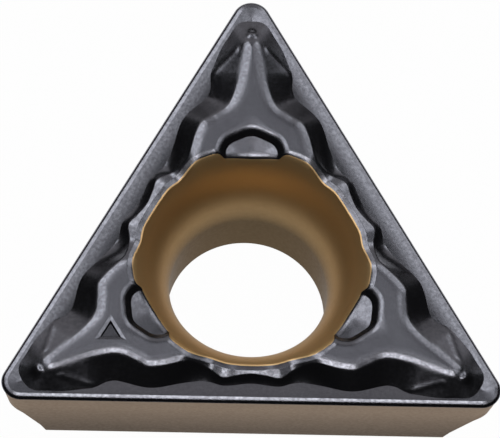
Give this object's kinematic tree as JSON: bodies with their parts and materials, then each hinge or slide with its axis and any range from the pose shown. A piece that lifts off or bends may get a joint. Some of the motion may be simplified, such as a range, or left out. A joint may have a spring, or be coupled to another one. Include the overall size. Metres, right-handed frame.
{
  "type": "indexable turning insert",
  "caption": "Triangular positive turning insert with a moulded chipbreaker, honed edges and a countersunk hole for a clamping screw.",
  "frame": {"origin": "where the clamping hole's axis meets the seat, the point from which a tool holder's pocket is drawn", "axes": "+Z along the hole's axis from the seat to the rake face, +Y towards one corner, so -Y faces the front cutting edge and +X runs along it"},
  "size_m": [0.0104, 0.0092, 0.0034],
  "materials": {
    "coated_carbide": "thin hard coating, near-black and slightly grainy on the rake face, bronze-brown on the flanks and in the hole"
  },
  "bodies": {
    "root": {"insert": "coated_carbide"}
  },
  "joints": []
}
